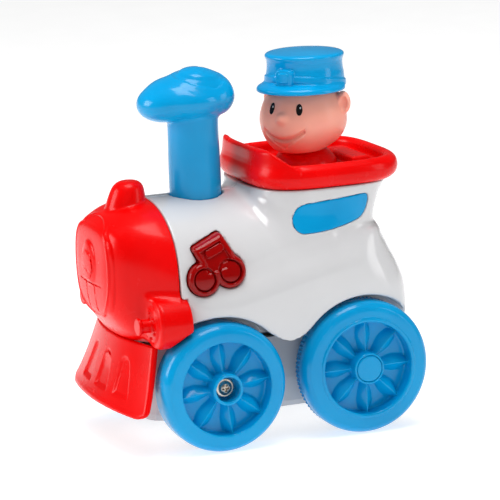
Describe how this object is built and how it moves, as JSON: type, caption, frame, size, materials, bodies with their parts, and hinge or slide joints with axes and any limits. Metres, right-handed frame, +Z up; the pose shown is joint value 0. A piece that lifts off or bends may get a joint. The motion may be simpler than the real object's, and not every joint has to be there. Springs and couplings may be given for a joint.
{
  "type": "toy train locomotive",
  "caption": "Press-and-go toy locomotive: push-down chimney driving geared rear wheels, swivelling driver, lit note button, two-part shell on a wheeled chassis.",
  "frame": {"origin": "on the ground, under the middle of the overall length and width", "axes": "+Z up, -Y is the driving direction, +X is the side with the sound button"},
  "size_m": [0.0836, 0.119, 0.1386],
  "materials": {
    "red_plastic": "injection-moulded, glossy",
    "blue_plastic": "injection-moulded, glossy",
    "white_plastic": "injection-moulded, glossy",
    "grey_plastic": "injection-moulded, satin",
    "skin_vinyl": "semi-matt vinyl, eyes printed",
    "red_lens": "clear red, polished",
    "nylon": "natural",
    "black_plastic": "fine texture",
    "circuit_board": "solder mask",
    "grey_rubber": "moulded silicone",
    "steel": "zinc plated"
  },
  "bodies": {
    "root": {"chassis_base": "grey_plastic", "battery_door": "grey_plastic", "shell_left": "white_plastic", "shell_right": "white_plastic", "smokebox_cover": "red_plastic", "cowcatcher": "red_plastic", "cab_tray": "red_plastic", "window_left": "blue_plastic", "window_right": "blue_plastic", "base_screw_1": "steel", "base_screw_2": "steel", "base_screw_3": "steel", "base_screw_4": "steel", "shell_screw_1": "steel", "shell_screw_2": "steel", "shell_screw_3": "steel", "cowcatcher_screw": "steel", "wheel_screw_left": "steel", "wheel_screw_right": "steel", "gearbox_frame": "nylon", "gearbox_cover": "nylon", "drive_shaft": "steel", "clutch_shaft": "steel", "return_spring": "steel", "driver_neck": "red_plastic", "circuit_board": "circuit_board", "rubber_dome": "grey_rubber", "note_led": "red_lens", "speaker": "black_plastic", "switch_housing": "steel", "cell_1": "steel", "cell_2": "steel", "cell_3": "steel", "contact_positive": "steel", "contact_negative": "steel"},
    "chimney": {"chimney_plunger": "blue_plastic", "plunger_rack": "nylon"},
    "drive_gear": {"drive_gear": "nylon"},
    "clutch_gear": {"clutch_gear": "nylon"},
    "rear_wheels": {"rear_axle": "steel", "axle_gear": "nylon", "rear_wheel_left": "blue_plastic", "rear_wheel_right": "blue_plastic", "hub_cap_left": "blue_plastic", "hub_cap_right": "blue_plastic"},
    "front_wheel_left": {"front_wheel_left": "blue_plastic"},
    "front_wheel_right": {"front_wheel_right": "blue_plastic"},
    "driver": {"driver_head": "skin_vinyl", "driver_cap": "blue_plastic"},
    "note_button": {"note_button": "red_lens"},
    "power_switch": {"power_switch": "black_plastic"}
  },
  "joints": [
    {"name": "chimney_press", "type": "slide", "parent": "root", "child": "chimney", "axis": [0, 0, -1], "range_m": [0, 0.018], "stiffness_N_per_m": 120, "springref_m": -0.006, "deforming": ["return_spring"]},
    {"name": "drive_gear_spin", "type": "hinge", "parent": "root", "child": "drive_gear", "pos_m": [0.002, -0.006, 0.038], "axis": [1, 0, 0], "range_deg": [0, 172.19]},
    {"name": "clutch_gear_spin", "type": "hinge", "parent": "root", "child": "clutch_gear", "pos_m": [0.006, 0.01898, 0.039], "axis": [1, 0, 0], "range_deg": [-443.8, 0]},
    {"name": "rear_axle_spin", "type": "hinge", "parent": "root", "child": "rear_wheels", "pos_m": [0, 0.0346, 0.0249], "axis": [1, 0, 0], "continuous": true},
    {"name": "front_wheel_left_spin", "type": "hinge", "parent": "root", "child": "front_wheel_left", "pos_m": [0.035, -0.0211, 0.024], "axis": [1, 0, 0], "continuous": true},
    {"name": "front_wheel_right_spin", "type": "hinge", "parent": "root", "child": "front_wheel_right", "pos_m": [-0.035, -0.0211, 0.024], "axis": [1, 0, 0], "continuous": true},
    {"name": "driver_swivel", "type": "hinge", "parent": "root", "child": "driver", "pos_m": [0, 0.0289, 0.11], "axis": [0, 0, 1], "continuous": true},
    {"name": "note_button_press", "type": "slide", "parent": "root", "child": "note_button", "axis": [-1, 0, 0], "range_m": [0, 0.0015], "stiffness_N_per_m": 400, "springref_m": -0.001},
    {"name": "power_switch_slide", "type": "slide", "parent": "root", "child": "power_switch", "axis": [0, 1, 0], "range_m": [0, 0.004]}
  ],
  "couplings": [
    {"joint": "drive_gear_spin", "follows": "chimney_press", "rad_per_m": 166.67},
    {"joint": "clutch_gear_spin", "follows": "chimney_press", "rad_per_m": -428.57}
  ]
}
